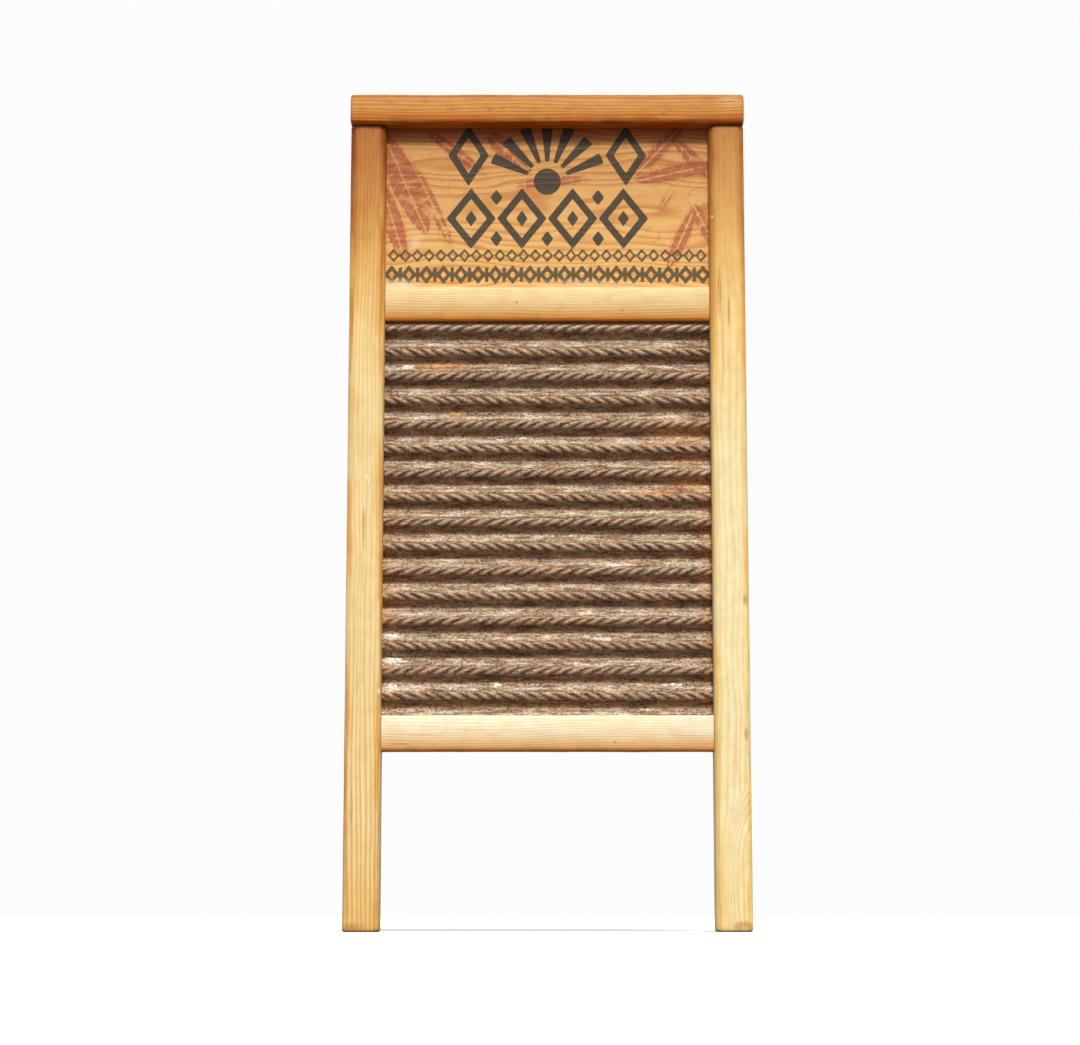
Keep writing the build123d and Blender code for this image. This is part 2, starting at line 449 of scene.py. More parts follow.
# ======================== metal
def sheet_metal():
    """Aged tinned steel: silvery flanks that are partly painted light, red-brown flutes with painted
    highlights and painted shade, valleys darkened by dirt and painted shade, pits and rust.
    """
    g = Graph("sheet_metal")
    x, y, z = g.millimetres()
    cloud = g.noise(g.point(x, y, z, (16, 16, 4), 1.0), 4.0, 0.6)
    fine = g.noise(g.point(x, y, z, (1.7, 1.7, 0.7), 2.0), 4.0, 0.72)
    drip = g.noise(g.point(x, y, z, (0.8, 3, 5), 3.0), 3.0, 0.6)
    # Partly bare tin, partly painted light: the lit_band attribute marks the upper flank of each ridge,
    # which faces the key light, and the bright tin colour goes there.
    bright = g.add(g.attribute("lit_band"), g.math("MULTIPLY_ADD", drip, 0.9, -0.45))
    blotch = g.noise(g.point(x, y, z, (12, 5, 1.9), 7.0), 4.0, 0.62)
    speck = g.add(g.times(fine, 0.50), g.times(blotch, 0.50))
    painted_lit_tin_stops = [(0.41, srgb(124, 98, 74)), (0.50, srgb(196, 175, 148)), (0.59, srgb(248, 242, 228))]
    painted_lit_tin = g.ramp(speck, painted_lit_tin_stops)
    high_stops = [(0.40, srgb(84, 57, 40)), (0.50, srgb(139, 109, 83)), (0.60, srgb(180, 150, 120))]
    high = g.ramp(speck, high_stops)
    under_stops = [(0.39, srgb(112, 80, 58)), (0.50, srgb(182, 144, 116)), (0.61, srgb(228, 196, 166))]
    under = g.ramp(speck, under_stops)
    body = g.mix(g.attribute("crest_low"), high, under)
    patchy = g.add(bright, g.math("MULTIPLY_ADD", cloud, 1.7, -0.85))
    colour = g.mix(g.step(patchy, 0.12, 1.05), body, painted_lit_tin)
    tint = g.noise(g.point(x, y, z, (8, 8, 3), 8.0), 3.0, 0.6)
    cast_stops = [(0.36, srgb(253, 228, 206)), (0.50, srgb(246, 243, 232)), (0.62, srgb(238, 242, 242))]
    cast = g.ramp(tint, cast_stops)
    colour = g.mix(0.9, colour, cast, "MULTIPLY")
    share = g.math("FRACT", g.attribute("flute"))
    band = g.attribute("flute_band")
    # Painted highlight: a light stroke along the upper, lit side of each flute strand.
    edge = g.times(g.step(share, 0.12, 0.36), g.step(share, 0.72, 0.50))
    edge = g.times(edge, g.step(drip, 0.25, 0.60))
    shine = g.mix(g.attribute("crest_low"), srgb(184, 150, 120), srgb(250, 220, 188))
    colour = g.mix(g.times(g.times(edge, band), 0.68), colour, shine)
    # Painted shade: the narrow grooves between flute strands are painted dark.
    painted_groove_shade = g.add(g.step(share, 0.80, 0.97), g.step(share, 0.10, 0.0))
    colour = g.mix(g.times(g.times(painted_groove_shade, band), 0.6), colour, srgb(74, 48, 34))
    # Partly dirt, partly painted shade: the lower flank under each ridge and the valley below it are
    # painted dark brown.
    dirt_and_painted_shade = g.add(g.attribute("shade_band"), g.math("MULTIPLY_ADD", drip, 0.8, -0.4))
    dark = g.mix(g.step(speck, 0.40, 0.60), srgb(90, 65, 46), srgb(172, 140, 109))
    colour = g.mix(g.times(g.step(dirt_and_painted_shade, 0.0, 1.0), 0.85), colour, dark)
    rust_cloud = g.noise(g.point(x, y, z, (7, 7, 4), 6.0), 4.0, 0.65)
    bloom = g.times(g.step(rust_cloud, 0.52, 0.68), g.step(blotch, 0.36, 0.60))
    colour = g.mix(g.times(bloom, 0.45), colour, srgb(150, 96, 62))
    # Painted light: the top of the sheet, in the upper crossbar's shadow, is painted lighter.
    painted_light_below_bar = g.step(z, 325.5, 329.0)
    colour = g.mix(g.times(painted_light_below_bar, 0.5), colour, srgb(240, 208, 176))
    spots = g.times(g.attribute("rust"), g.step(fine, 0.34, 0.58))
    colour = g.mix(g.times(spots, 0.9), colour, srgb(212, 146, 82))
    lime = g.add(g.attribute("lime"), g.math("MULTIPLY_ADD", speck, 5.0, -2.6))
    colour = g.mix(g.times(g.step(lime, 0.46, 0.86), 0.7), colour, srgb(240, 237, 226))
    pit_cells = g.cells(g.point(x, y, z, (2.8, 2.8, 2.0), 4.0))
    pits = g.times(g.step(pit_cells, 0.33, 0.21), g.step(fine, 0.40, 0.52))
    colour = g.mix(g.times(pits, 0.65), colour, srgb(66, 44, 31))
    rough = g.math("MULTIPLY_ADD", fine, -0.25, 0.66)
    height = g.add(g.times(fine, 0.7), g.times(pits, -0.8))
    return g.finish(colour, rough, height, 0.10, Metallic=0.30, Specular_IOR_Level=0.3)


def nail_steel():
    """Dark oxidised wire-nail steel with a little orange bloom."""
    g = Graph("nail_steel")
    grain = g.noise(g.point(*g.millimetres(), (0.5, 0.5, 0.5), 1.0), 4.0, 0.65)
    colour = g.ramp(grain, [(0.3, srgb(54, 42, 36)), (0.55, srgb(96, 78, 66)), (0.75, srgb(150, 92, 58))])
    rough = g.math("MULTIPLY_ADD", grain, 0.3, 0.4)
    return g.finish(colour, rough, grain, 0.05, Metallic=0.7)


# ======================== mesh building
def new_object(name, data):
    """An object with that data, linked to the scene."""
    made = bpy.data.objects.new(name, data)
    bpy.context.scene.collection.objects.link(made)
    return made


def mesh_object(name, vertices, faces):
    """A mesh object from vertices in millimetres."""
    mesh = bpy.data.meshes.new(name)
    mesh.from_pydata([tuple(v) for v in np.asarray(vertices) * MM], [], faces)
    mesh.validate()
    return new_object(name, mesh)


def points_of(piece):
    """The piece's vertices, in millimetres."""
    return np.array([v.co for v in piece.data.vertices], float) / MM


def grid_faces(rows, wide):
    """Quads between rows + 1 rows of wide points each, facing the front."""
    faces = []
    for row in range(rows):
        for column in range(wide - 1):
            first = row * wide + column
            faces.append((first, first + 1, first + wide + 1, first + wide))
    return faces


def set_attribute(piece, name, values):
    made = piece.data.attributes.new(name, "FLOAT", "POINT")
    made.data.foreach_set("value", np.asarray(values, np.float32))


def rounded_section(half_width, half_height, radii, crown, segments=8, run=6):
    """A closed outline, anticlockwise: a rounded rectangle with gently bowed sides.

    radii are of the corners (+,+), (-,+), (-,-) and (+,-). crown is how far a
    side's ends fall back from its middle.
    """
    outline = []
    signs = ((1, 1), (-1, 1), (-1, -1), (1, -1))
    for index, ((sx, sy), radius) in enumerate(zip(signs, radii)):
        centre = np.array([sx * (half_width - radius), sy * (half_height - radius)])
        start = math.pi / 2 * index
        for step in range(segments + 1):
            angle = start + math.pi / 2 * step / segments
            outline.append(centre + radius * np.array([math.cos(angle), math.sin(angle)]))
    filled = []
    for first, second in zip(outline, outline[1:] + outline[:1]):
        filled.append(first)
        if np.linalg.norm(second - first) > 0.2 * half_width:
            filled += [first + (second - first) * k / run for k in range(1, run)]
    filled = np.array(filled)
    bowed = filled.copy()
    bowed[:, 0] -= np.sign(filled[:, 0]) * crown[0] * (filled[:, 1] / half_height) ** 2 * (
        np.abs(filled[:, 0]) / half_width) ** 3
    bowed[:, 1] -= np.sign(filled[:, 1]) * crown[1] * (filled[:, 0] / half_width) ** 2 * (
        np.abs(filled[:, 1]) / half_height) ** 3
    return bowed


def swept_bar(name, sections, stations, to_space):
    """A closed bar through one outline per station; to_space places (u, v, station)."""
    count = len(sections[0])
    vertices = []
    for outline, station in zip(sections, stations):
        vertices += [to_space(u, v, station) for u, v in outline]
    faces = []
    for ring in range(len(stations) - 1):
        base = ring * count
        for index in range(count):
            following = (index + 1) % count
            faces.append((base + index, base + following, base + count + following, base + count + index))
    last = (len(stations) - 1) * count
    faces.append(tuple(range(count))[::-1])
    faces.append(tuple(range(last, last + count)))
    return mesh_object(name, vertices, faces)


def along_x(middle):
    """Places a bar's outline round a line along X, for swept_bar."""
    return lambda u, v, station: (station, middle[1] + u, middle[2] + v)


def along_z(middle):
    """Places a bar's outline round a line along Z, for swept_bar."""
    return lambda u, v, station: (middle[0] + u, middle[1] + v, station)


def eased_stations(low, high, ease, spacing, steps=5):
    """Stations along a bar and how far its outline shrinks at each, for soft ends."""
    angles = [math.pi / 2 * k / steps for k in range(steps)]
    inset = [ease * (1 - math.sin(a)) for a in angles]
    reach = [ease * (1 - math.cos(a)) for a in angles]
    count = max(2, round((high - low - 2 * ease) / spacing))
    middle = list(np.linspace(low + ease, high - ease, count + 1))
    stations = [low + r for r in reach] + middle + [high - r for r in reach[::-1]]
    shrink = inset + [0.0] * len(middle) + inset[::-1]
    return stations, shrink


def shrunk(outline, amount):
    """The outline moved inwards by about that many millimetres."""
    size = np.abs(outline).max(axis=0)
    return outline * (1 - amount / size)


def cut(piece, *tools):
    """Cuts each tool object out of the piece, and removes the tools."""
    for tool in tools:
        modifier = piece.modifiers.new("cut", "BOOLEAN")
        modifier.operation = "DIFFERENCE"
        modifier.solver = "EXACT"
        modifier.object = tool
    bpy.context.view_layer.update()
    evaluated = piece.evaluated_get(bpy.context.evaluated_depsgraph_get())
    piece.data = bpy.data.meshes.new_from_object(evaluated)
    piece.modifiers.clear()
    for tool in tools:
        bpy.data.objects.remove(tool)


def block(low, high):
    """A plain box to cut with."""
    corners = [(x, y, z) for x in (low[0], high[0]) for y in (low[1], high[1]) for z in (low[2], high[2])]
    faces = [(0, 1, 3, 2), (4, 6, 7, 5), (0, 4, 5, 1), (2, 3, 7, 6), (0, 2, 6, 4), (1, 5, 7, 3)]
    return mesh_object("tool", corners, faces)


def drill(centre, axis, radius, depth):
    """A short cylinder to cut a nail's recess with; axis points out of the wood."""
    bm = bmesh.new()
    size = {"radius1": radius * MM, "radius2": radius * MM, "depth": 2 * depth * MM}
    bmesh.ops.create_cone(bm, cap_ends=True, segments=24, **size)
    mesh = bpy.data.meshes.new("drill")
    bm.to_mesh(mesh)
    bm.free()
    made = new_object("drill", mesh)
    made.rotation_euler = Vector(axis).to_track_quat("Z", "Y").to_euler()
    made.location = Vector(centre) * MM
    return made


def settle(piece, node, material, angle=40):
    """Gives a finished piece its material, smooth shading and body, and hides the CAD part it replaces."""
    piece.data.materials.clear()
    piece.data.materials.append(material)
    for polygon in piece.data.polygons:
        polygon.use_smooth = True
    piece.data.set_sharp_from_angle(angle=math.radians(angle))
    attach(piece, "root")
    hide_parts(node)


# ======================== camera and light
LENS_MM = 85.0
SENSOR_MM = 36.0
EYE_DISTANCE = 1.367
EYE_HEIGHT = 0.008
EYE_SIDE = -0.004
EYE_TILT = 8.79

camera_data = bpy.data.cameras.new("camera")
camera_data.lens = LENS_MM
camera_data.sensor_width = SENSOR_MM
camera_data.sensor_fit = "HORIZONTAL"
camera_data.dof.use_dof = False
camera_data.clip_start = 0.01
camera = new_object("camera", camera_data)
camera.location = (EYE_SIDE, -EYE_DISTANCE, EYE_HEIGHT)
camera.rotation_euler = (math.radians(90 + EYE_TILT), 0, 0)
bpy.context.scene.camera = camera
bpy.context.scene.view_settings.view_transform = "Standard"

FLOOR_HALF = 20.0
floor_mesh = bpy.data.meshes.new("floor")
floor_corners = [(x * FLOOR_HALF, y * FLOOR_HALF, 0) for x, y in ((-1, -1), (1, -1), (1, 1), (-1, 1))]
floor_mesh.from_pydata(floor_corners, [], [(0, 1, 2, 3)])
floor = new_object("floor", floor_mesh)
floor.visible_diffuse = False
floor.visible_glossy = False
floor_graph = Graph("floor_paint")
floor_point = floor_graph.point(*floor_graph.millimetres(), (300, 300, 300))
floor_tone = floor_graph.noise(floor_point)
floor_colour = floor_graph.ramp(floor_tone, [(0.3, srgb(240, 240, 240)), (0.7, srgb(246, 246, 246))])
floor.data.materials.append(floor_graph.finish(floor_colour, 0.8, floor_tone, 0.05, Specular_IOR_Level=0.1))

KEY_ELEVATION = 48
KEY_SIDE = 6
KEY_STRENGTH = 2.75
KEY_SOFTNESS = 10
key_data = bpy.data.lights.new("key", "SUN")
key_data.energy = KEY_STRENGTH
key_data.angle = math.radians(KEY_SOFTNESS)
key = new_object("key", key_data)
key.rotation_euler = (math.radians(90 - KEY_ELEVATION), 0, math.radians(KEY_SIDE))
key.location = (0.2, -1.4, 1.6)

SKY_SEEN = 0.975
SKY_ABOVE = 1.0
SKY_BELOW = 0.16


def studio_world():
    """White to the camera; as light it is soft from above and dim from below."""
    world = bpy.data.worlds.new("studio")
    world.use_nodes = True
    nodes = world.node_tree.nodes
    link = world.node_tree.links.new
    place = nodes.new("ShaderNodeTexCoord")
    split = nodes.new("ShaderNodeSeparateXYZ")
    link(place.outputs["Generated"], split.inputs[0])
    height = nodes.new("ShaderNodeMapRange")
    height.interpolation_type = "SMOOTHSTEP"
    ends = {"From Min": -0.25, "From Max": 0.75, "To Min": SKY_BELOW, "To Max": SKY_ABOVE}
    for name, value in ends.items():
        height.inputs[name].default_value = value
    link(split.outputs["Z"], height.inputs["Value"])
    path = nodes.new("ShaderNodeLightPath")
    strength = nodes.new("ShaderNodeMapRange")
    link(path.outputs["Is Camera Ray"], strength.inputs["Value"])
    link(height.outputs[0], strength.inputs["To Min"])
    strength.inputs["To Max"].default_value = SKY_SEEN
    link(strength.outputs[0], nodes["Background"].inputs["Strength"])
    nodes["Background"].inputs["Color"].default_value = (1.0, 1.0, 1.0, 1)
    bpy.context.scene.world = world


studio_world()

# ======================== the legs
LEG_RADIUS = 3.4
LEG_CROWN = 0.3
LEG_EASE = 1.4
LEG_WEAR = 0.5
WEAR_REACH = 4.0
ARRIS_REACH = 5.0
STATION_SPACING = 3.0
GROOVE_HALF = 3.2
GROOVE_DEPTH = 6.0
NAIL_HEAD_RADIUS = 2.0
RECESS_RADIUS = NAIL_HEAD_RADIUS + 0.15
NAIL_SINK = 0.9
NAIL_LENGTH = 38.1


def wear(piece, amount, seed, arris):
    """Dents and rounds the piece slightly, more where arris is near 1."""
    points = points_of(piece)
    middle = (points.min(axis=0) + points.max(axis=0)) / 2
    broad = noise_at(points, 26.0, seed)
    small = noise_at(points, 5.0, seed + 1)
    depth = amount * (0.12 * (broad + 0.6) + arris * (0.5 + 0.5 * broad + 0.5 * small))
    depth = np.clip(depth, 0, None)
    normals = np.array([v.normal for v in piece.data.vertices])
    moved = points - normals * depth[:, None]
    piece.data.vertices.foreach_set("co", (moved * MM).astype(np.float32).ravel())
    piece.data.update()


def corner_share(u, v, half_u, half_v, reach):
    """1 on a bar's long arrises and 0 a little way from them."""
    near_u = smooth(np.abs(u), half_u - reach, half_u - 0.25 * reach)
    near_v = smooth(np.abs(v), half_v - reach, half_v - 0.25 * reach)
    return near_u * near_v


def leg_arris(leg, middle, half, reach):
    """corner_share at each of a leg's vertices."""
    points = points_of(leg) - middle
    return corner_share(points[:, 0], points[:, 1], half[0], half[1], reach)


def make_leg(node, side, material, seed):
    low, high = box_mm(node)
    middle = (low + high) / 2
    half = (high - low) / 2
    outline = rounded_section(half[0], half[1], (LEG_RADIUS,) * 4, (LEG_CROWN, LEG_CROWN))
    stations, shrink = eased_stations(low[2], high[2], LEG_EASE, STATION_SPACING)
    sections = [shrunk(outline, s) for s in shrink]
    leg = swept_bar(node + "_wood", sections, stations, along_z(middle))
    wear(leg, LEG_WEAR, seed, leg_arris(leg, middle, half, WEAR_REACH))
    inner = middle[0] - side * half[0]
    groove_floor = inner + side * GROOVE_DEPTH
    bar_low = box_mm("lower_crossbar")[0][2]
    groove = block(
        (min(inner - side, groove_floor), -GROOVE_HALF, bar_low),
        (max(inner - side, groove_floor), GROOVE_HALF, high[2] + 1),
    )
    tools = [groove]
    outer = middle[0] + side * half[0]
    for bar in ("upper_crossbar", "lower_crossbar"):
        bar_box = box_mm(bar)
        height = (bar_box[0][2] + bar_box[1][2]) / 2
        tools.append(drill((outer, 0, height), (side, 0, 0), RECESS_RADIUS, NAIL_SINK))
    cut(leg, *tools)
    points = points_of(leg)
    set_attribute(leg, "arris", leg_arris(leg, middle, half, ARRIS_REACH))
    inner_share = smooth(-side * (points[:, 0] - middle[0]), half[0] - 1.2, half[0] - 0.2)
    beside_frame = smooth(points[:, 2], bar_low - 1, bar_low + 1)
    under_rail = smooth(points[:, 2], high[2] - 2.5, high[2] - 0.5)
    set_attribute(leg, "joint", np.maximum(inner_share * beside_frame, under_rail))
    settle(leg, node, material)


make_leg("left_leg", -1, leg_wood("left_leg_wood", 1.0, (-152, -40), STRAW), 11)
make_leg("right_leg", 1, leg_wood("right_leg_wood", 6.0, (72, 34), CREAM), 12)

# ======================== the top rail
RAIL_RADII = (2.2, 2.2, 1.8, 1.8)
RAIL_CROWN = (0.5, 0.3)
RAIL_EASE = 1.6
RAIL_WEAR = 0.6
RAIL_SPACING = 2.5


def make_rail():
    low, high = box_mm("top_rail")
    middle = (low + high) / 2
    half = (high - low) / 2
    outline = rounded_section(half[1], half[2], RAIL_RADII, RAIL_CROWN)
    stations, shrink = eased_stations(low[0], high[0], RAIL_EASE, RAIL_SPACING)
    sections = [shrunk(outline, s) for s in shrink]
    rail = swept_bar("top_rail_wood", sections, stations, along_x(middle))
    points = points_of(rail)
    arris = corner_share(points[:, 1], points[:, 2] - middle[2], half[1], half[2], WEAR_REACH)
    wear(rail, RAIL_WEAR, 21, arris)
    panel_low, panel_high = box_mm("crest_panel")
    groove_low = (panel_low[0], -GROOVE_HALF, low[2] - 1)
    groove_high = (panel_high[0], GROOVE_HALF, panel_high[2] + 0.5)
    tools = [block(groove_low, groove_high)]
    for x in NAIL_X:
        for y in NAIL_Y:
            tools.append(drill((x, y, high[2]), (0, 0, 1), RECESS_RADIUS, NAIL_SINK))
    cut(rail, *tools)
    points = points_of(rail)
    set_attribute(rail, "lower_side", smooth(middle[2] - points[:, 2], 0, half[2]))
    up = points[:, 2] - middle[2]
    upper_side = smooth(up, half[2] - 5, half[2] - 1) * smooth(-up, 0.35 - half[2], 0.9 - half[2])
    set_attribute(rail, "upper_side", upper_side)
    settle(rail, "top_rail", rail_wood())


left_leg_box = box_mm("left_leg")
LEG_CENTRE = -(left_leg_box[0][0] + left_leg_box[1][0]) / 2
NAIL_X = (-LEG_CENTRE, LEG_CENTRE)
NAIL_Y = (-4.5, 4.5)
make_rail()

# ======================== the crossbars
BAR_CROWN = 1.2
BAR_EDGE_RADIUS = 1.6
TONGUE_SHARE = 0.97
BAR_TONGUE = 5.5
BAR_GROOVE_DEPTH = 5.0
BAR_WEAR = 0.35
BAR_WEAR_REACH = 3.0
BAR_SECTIONS = 72


def make_crossbar(node, material, seed):
    low, high = box_mm(node)
    middle = (low + high) / 2
    half = (high - low) / 2
    shoulder = half[0] - BAR_TONGUE
    section = rounded_section(half[1], half[2], (BAR_EDGE_RADIUS,) * 4, (BAR_CROWN, 0))
    tongue = section * np.array([GROOVE_HALF / half[1], TONGUE_SHARE])
    inner = list(np.linspace(-shoulder, shoulder, BAR_SECTIONS))
    stations = [-half[0], -shoulder] + inner + [shoulder, half[0]]
    sections = [tongue, tongue] + [section] * len(inner) + [tongue, tongue]
    bar = swept_bar(node + "_wood", sections, stations, along_x(middle))
    points = points_of(bar)
    up = points[:, 2] - middle[2]
    arris = corner_share(points[:, 1], up, half[1] - BAR_CROWN, half[2], BAR_WEAR_REACH)
    arris *= np.abs(points[:, 0]) < shoulder - 0.5
    wear(bar, BAR_WEAR, seed, arris)
    reach = half[0] + 1
    spans = [(high[2] - BAR_GROOVE_DEPTH, high[2] + 1)]
    if node == "upper_crossbar":
        spans.insert(0, (low[2] - 1, low[2] + BAR_GROOVE_DEPTH))
    tools = [block((-reach, -GROOVE_HALF, foot), (reach, GROOVE_HALF, top)) for foot, top in spans]
    cut(bar, *tools)
    points = points_of(bar)
    set_attribute(bar, "lower_side", smooth(middle[2] - points[:, 2], -2.5, 9.6))
    settle(bar, node, material)


make_crossbar("upper_crossbar", crossbar_wood("upper_crossbar_wood", 3.0, (300, -18), UPPER_BAR), 31)
make_crossbar("lower_crossbar", crossbar_wood("lower_crossbar_wood", 9.0, (60, 16), LOWER_BAR), 32)

# ======================== the crest panel
PANEL_STEP = 0.9


def edge_line(shape, stroke):
    """A line that wide along a shape's edge."""
    return np.abs(shape) - stroke / 2


def disc(x, z, cx, cz, radius):
    """Signed distance to a disc's edge, negative inside."""
    return np.hypot(x - cx, z - cz) - radius


def ring(x, z, cx, cz, radius, stroke):
    return edge_line(disc(x, z, cx, cz, radius), stroke)


def lozenge(x, z, cx, cz, half_width, half_height):
    share = np.abs(x - cx) / half_width + np.abs(z - cz) / half_height - 1
    return share * half_width * half_height / math.hypot(half_width, half_height)


def lozenge_ring(x, z, cx, cz, half_width, half_height, stroke):
    return edge_line(lozenge(x, z, cx, cz, half_width, half_height), stroke)


def bar_shape(x, z, cx, cz, half_width, half_height):
    return np.maximum(np.abs(x - cx) - half_width, np.abs(z - cz) - half_height)


def ray(x, z, cx, cz, angle, inner, outer, spread):
    """A wedge of a sunburst, from inner to outer radius."""
    along = (x - cx) * math.cos(angle) + (z - cz) * math.sin(angle)
    side = np.abs(-(x - cx) * math.sin(angle) + (z - cz) * math.cos(angle))
    edge = (side - along * math.tan(spread)) * math.cos(spread)
    distance = np.hypot(x - cx, z - cz)
    return np.maximum.reduce([edge, inner - distance, distance - outer, -along])


def leaf(x, z, start, end, width):
    """A pointed leaf from start to end, in mm, and its pale veins."""
    reach = math.dist(start, end)
    ux, uz = (end[0] - start[0]) / reach, (end[1] - start[1]) / reach
    along = (x - start[0]) * ux + (z - start[1]) * uz
    side = np.abs((z - start[1]) * ux - (x - start[0]) * uz)
    share = np.clip(along / reach, 0, 1)
    body = side - width / 2 * np.sqrt(np.clip(4 * share * (1 - share), 0.0, 1))
    blade = np.maximum(body, np.maximum(-along, along - reach))
    turn = (along - 0.9 * side) / VEIN_SPACING
    side_vein = np.abs(turn - np.round(turn)) * VEIN_SPACING - 0.3
    return blade, np.minimum(side - 0.45, side_vein)


DARK_STROKE = 3.9
VEIN_SPACING = 6.5
SUN = (0.0, 60.0)
RED_LEAVES = (
    ((-91, 88), (-66, 30), 17),
    ((-92, 60), (-78, 14), 12),
    ((-74, 70), (-52, 22), 8),
    ((-68, 90), (-34, 64), 8),
    ((-33, 88), (-9, 64), 13),
    ((-20, 58), (24, 62), 7),
    ((47, 62), (76, 93), 9),
    ((48, 60), (93, 70), 10),
    ((70, 84), (93, 60), 9),
    ((62, 44), (71, 58), 5),
    ((66, 10), (82, 46), 9),
    ((80, 48), (93, 22), 9),
)
RED_RINGS = ((-50, 56, 5), (-61, 14, 4), (58, 30, 4), (84, 50, 6.5), (-57, 30, 3.5), (14, 30, 4))


def crest_masks(x, z):
    """Signed distances, in mm, to the dark figures, red patches and red outlines.

    x is from the panel's middle and z is from the lower edge of what shows.
    """
    dark = [disc(x, z, *SUN, 7.5)]
    for index in range(7):
        angle = math.radians(24 + 22 * index)
        dark.append(ray(x, z, *SUN, angle, 11.5, 33, math.radians(5.6)))
    for side in (-1, 1):
        dark.append(lozenge_ring(x, z, side * 43.5, 75.0, 9.0, 14.0, DARK_STROKE))
    for centre in (-42, -14, 14, 42):
        dark.append(lozenge_ring(x, z, centre, 39, 11.2, 14.2, DARK_STROKE))
        dark.append(lozenge(x, z, centre, 39, 3.2, 4.6))
    for centre in (-28, 0, 28):
        dark.append(lozenge(x, z, centre, 27.5, 3.4, 4.6))
    for centre in (-28, 28):
        dark.append(lozenge(x, z, centre, 51.0, 3.4, 4.6))
    for index in range(27):
        centre = -84.5 + 6.5 * index
        dark.append(lozenge_ring(x, z, centre, 18.0, 2.5, 3.0, 1.25))
    for index in range(19):
        centre = -85.5 + 9.5 * index
        dark.append(lozenge_ring(x, z, centre, 7.2, 3.0, 3.9, 2.0))
        dark.append(bar_shape(x, z, centre + 4.75, 7.2, 0.95, 4.2))
    red = []
    line = [ring(x, z, *place, 0.6) for place in RED_RINGS]
    for place in RED_LEAVES:
        blade, veins = leaf(x, z, *place)
        red.append(np.maximum(blade + 0.8, -veins))
        line.append(edge_line(blade, 0.6))
    return np.minimum.reduce(dark), np.minimum.reduce(red), np.minimum.reduce(line)


SCUFFS = (
    (-82, 351, 12, 2.5, 1.0),
    (-74, 376, 4, 4, 0.7),
    (84, 384, 0.8, 1.3, 1.3),
    (20, 352, 30, 1.6, 0.4),
)


def make_panel():
    low, high = box_mm("crest_panel")
    columns = round((high[0] - low[0]) / PANEL_STEP)
    rows = round((high[2] - low[2]) / PANEL_STEP)
    xs = np.linspace(low[0], high[0], columns + 1)
    zs = np.linspace(low[2], high[2], rows + 1)
    grid = np.array([(x, low[1], z) for z in zs for x in xs])
    warp = 0.10 * noise_at(grid * (0.4, 1, 1), 16.0, 41)
    grid[:, 1] += 0.1 + warp
    corners = ((low[0], low[2]), (high[0], low[2]), (high[0], high[2]), (low[0], high[2]))
    back = [(x, high[1], z) for x, z in corners]
    vertices = list(grid) + back
    wide = columns + 1
    faces = grid_faces(rows, wide)
    base = len(grid)
    bottom_row = list(range(wide))
    top_row = [rows * wide + k for k in range(wide)]
    left_side = [k * wide for k in range(rows + 1)]
    right_side = [k * wide + columns for k in range(rows + 1)]
    faces.append(tuple(bottom_row[::-1] + [base, base + 1]))
    faces.append(tuple(right_side[::-1] + [base + 1, base + 2]))
    faces.append(tuple(top_row + [base + 2, base + 3]))
    faces.append(tuple(left_side + [base + 3, base]))
    faces.append((base, base + 3, base + 2, base + 1))
    panel = mesh_object("crest_panel_wood", vertices, faces)
    points = points_of(panel)
    shown_low = box_mm("upper_crossbar")[1][2]
    front = points[:, 1] < 0
    dark, red, line = crest_masks(points[:, 0], points[:, 2] - shown_low)
    for name, values in (("dark_ink", dark), ("red_ink", red), ("red_line", line)):
        set_attribute(panel, name, np.where(front, values, 9.0))
    set_attribute(panel, "scuff", patches(points[:, 0], points[:, 2], SCUFFS) * front)
    settle(panel, "crest_panel", crest_wood(), 30)


make_panel()

# ======================== the rubbing sheet
SHEET_THICKNESS = 0.5
RIDGE_PITCH = 13.46
RIDGE_COUNT = 16
RIDGE_RADIUS = 2.8
FLANK_ANGLE = math.radians(46)
TOP_RIDGE_DROP = 2.5
FLUTE_SPACING = 7.2
FLUTE_ANGLE = math.radians(25)
FLUTE_HEIGHT = 0.66
FRONT_COLUMNS = 240
SHEET_END_GAP = 0.3
RIDGE_ROWS = (-2.0, -1.58, -1.16, -0.74, -0.32, 0.1, 0.52, 0.94, 1.36, 1.78, 2.2, 2.62, 3.04)
VALLEY_ROWS = (4.2, 5.5, 6.73, 7.9, 9.1, 10.4)
TOP_RIDGE = box_mm("upper_crossbar")[0][2] - TOP_RIDGE_DROP
WAVE_SWING = RIDGE_PITCH / 4 * math.tan(FLANK_ANGLE) - RIDGE_RADIUS * (1 / math.cos(FLANK_ANGLE) - 1)
RUST_SPOTS = (
    (-56, 306, 12, 2.2, 1.0),
    (-50, 279, 3, 3, 0.8),
    (72, 269, 14, 6, 0.8),
    (76, 254, 10, 3, 0.8),
    (78, 241, 12, 4, 0.9),
    (60, 236, 14, 3, 0.7),
    (-86, 180, 4, 60, 0.5),
    (86, 210, 3, 70, 0.5),
)
LIME_SPOTS = (
    (-77, 305, 5, 2.0, 1.2),
    (-84, 158, 7, 3.0, 1.0),
    (-81, 144.5, 8, 3.2, 1.0),
    (-84, 131, 6, 3.0, 0.9),
    (-28, 131, 4, 2.4, 0.8),
    (-20, 266, 22, 2.0, 0.5),
    (30, 252.5, 30, 2.0, 0.5),
    (66, 131, 20, 2.4, 0.6),
)


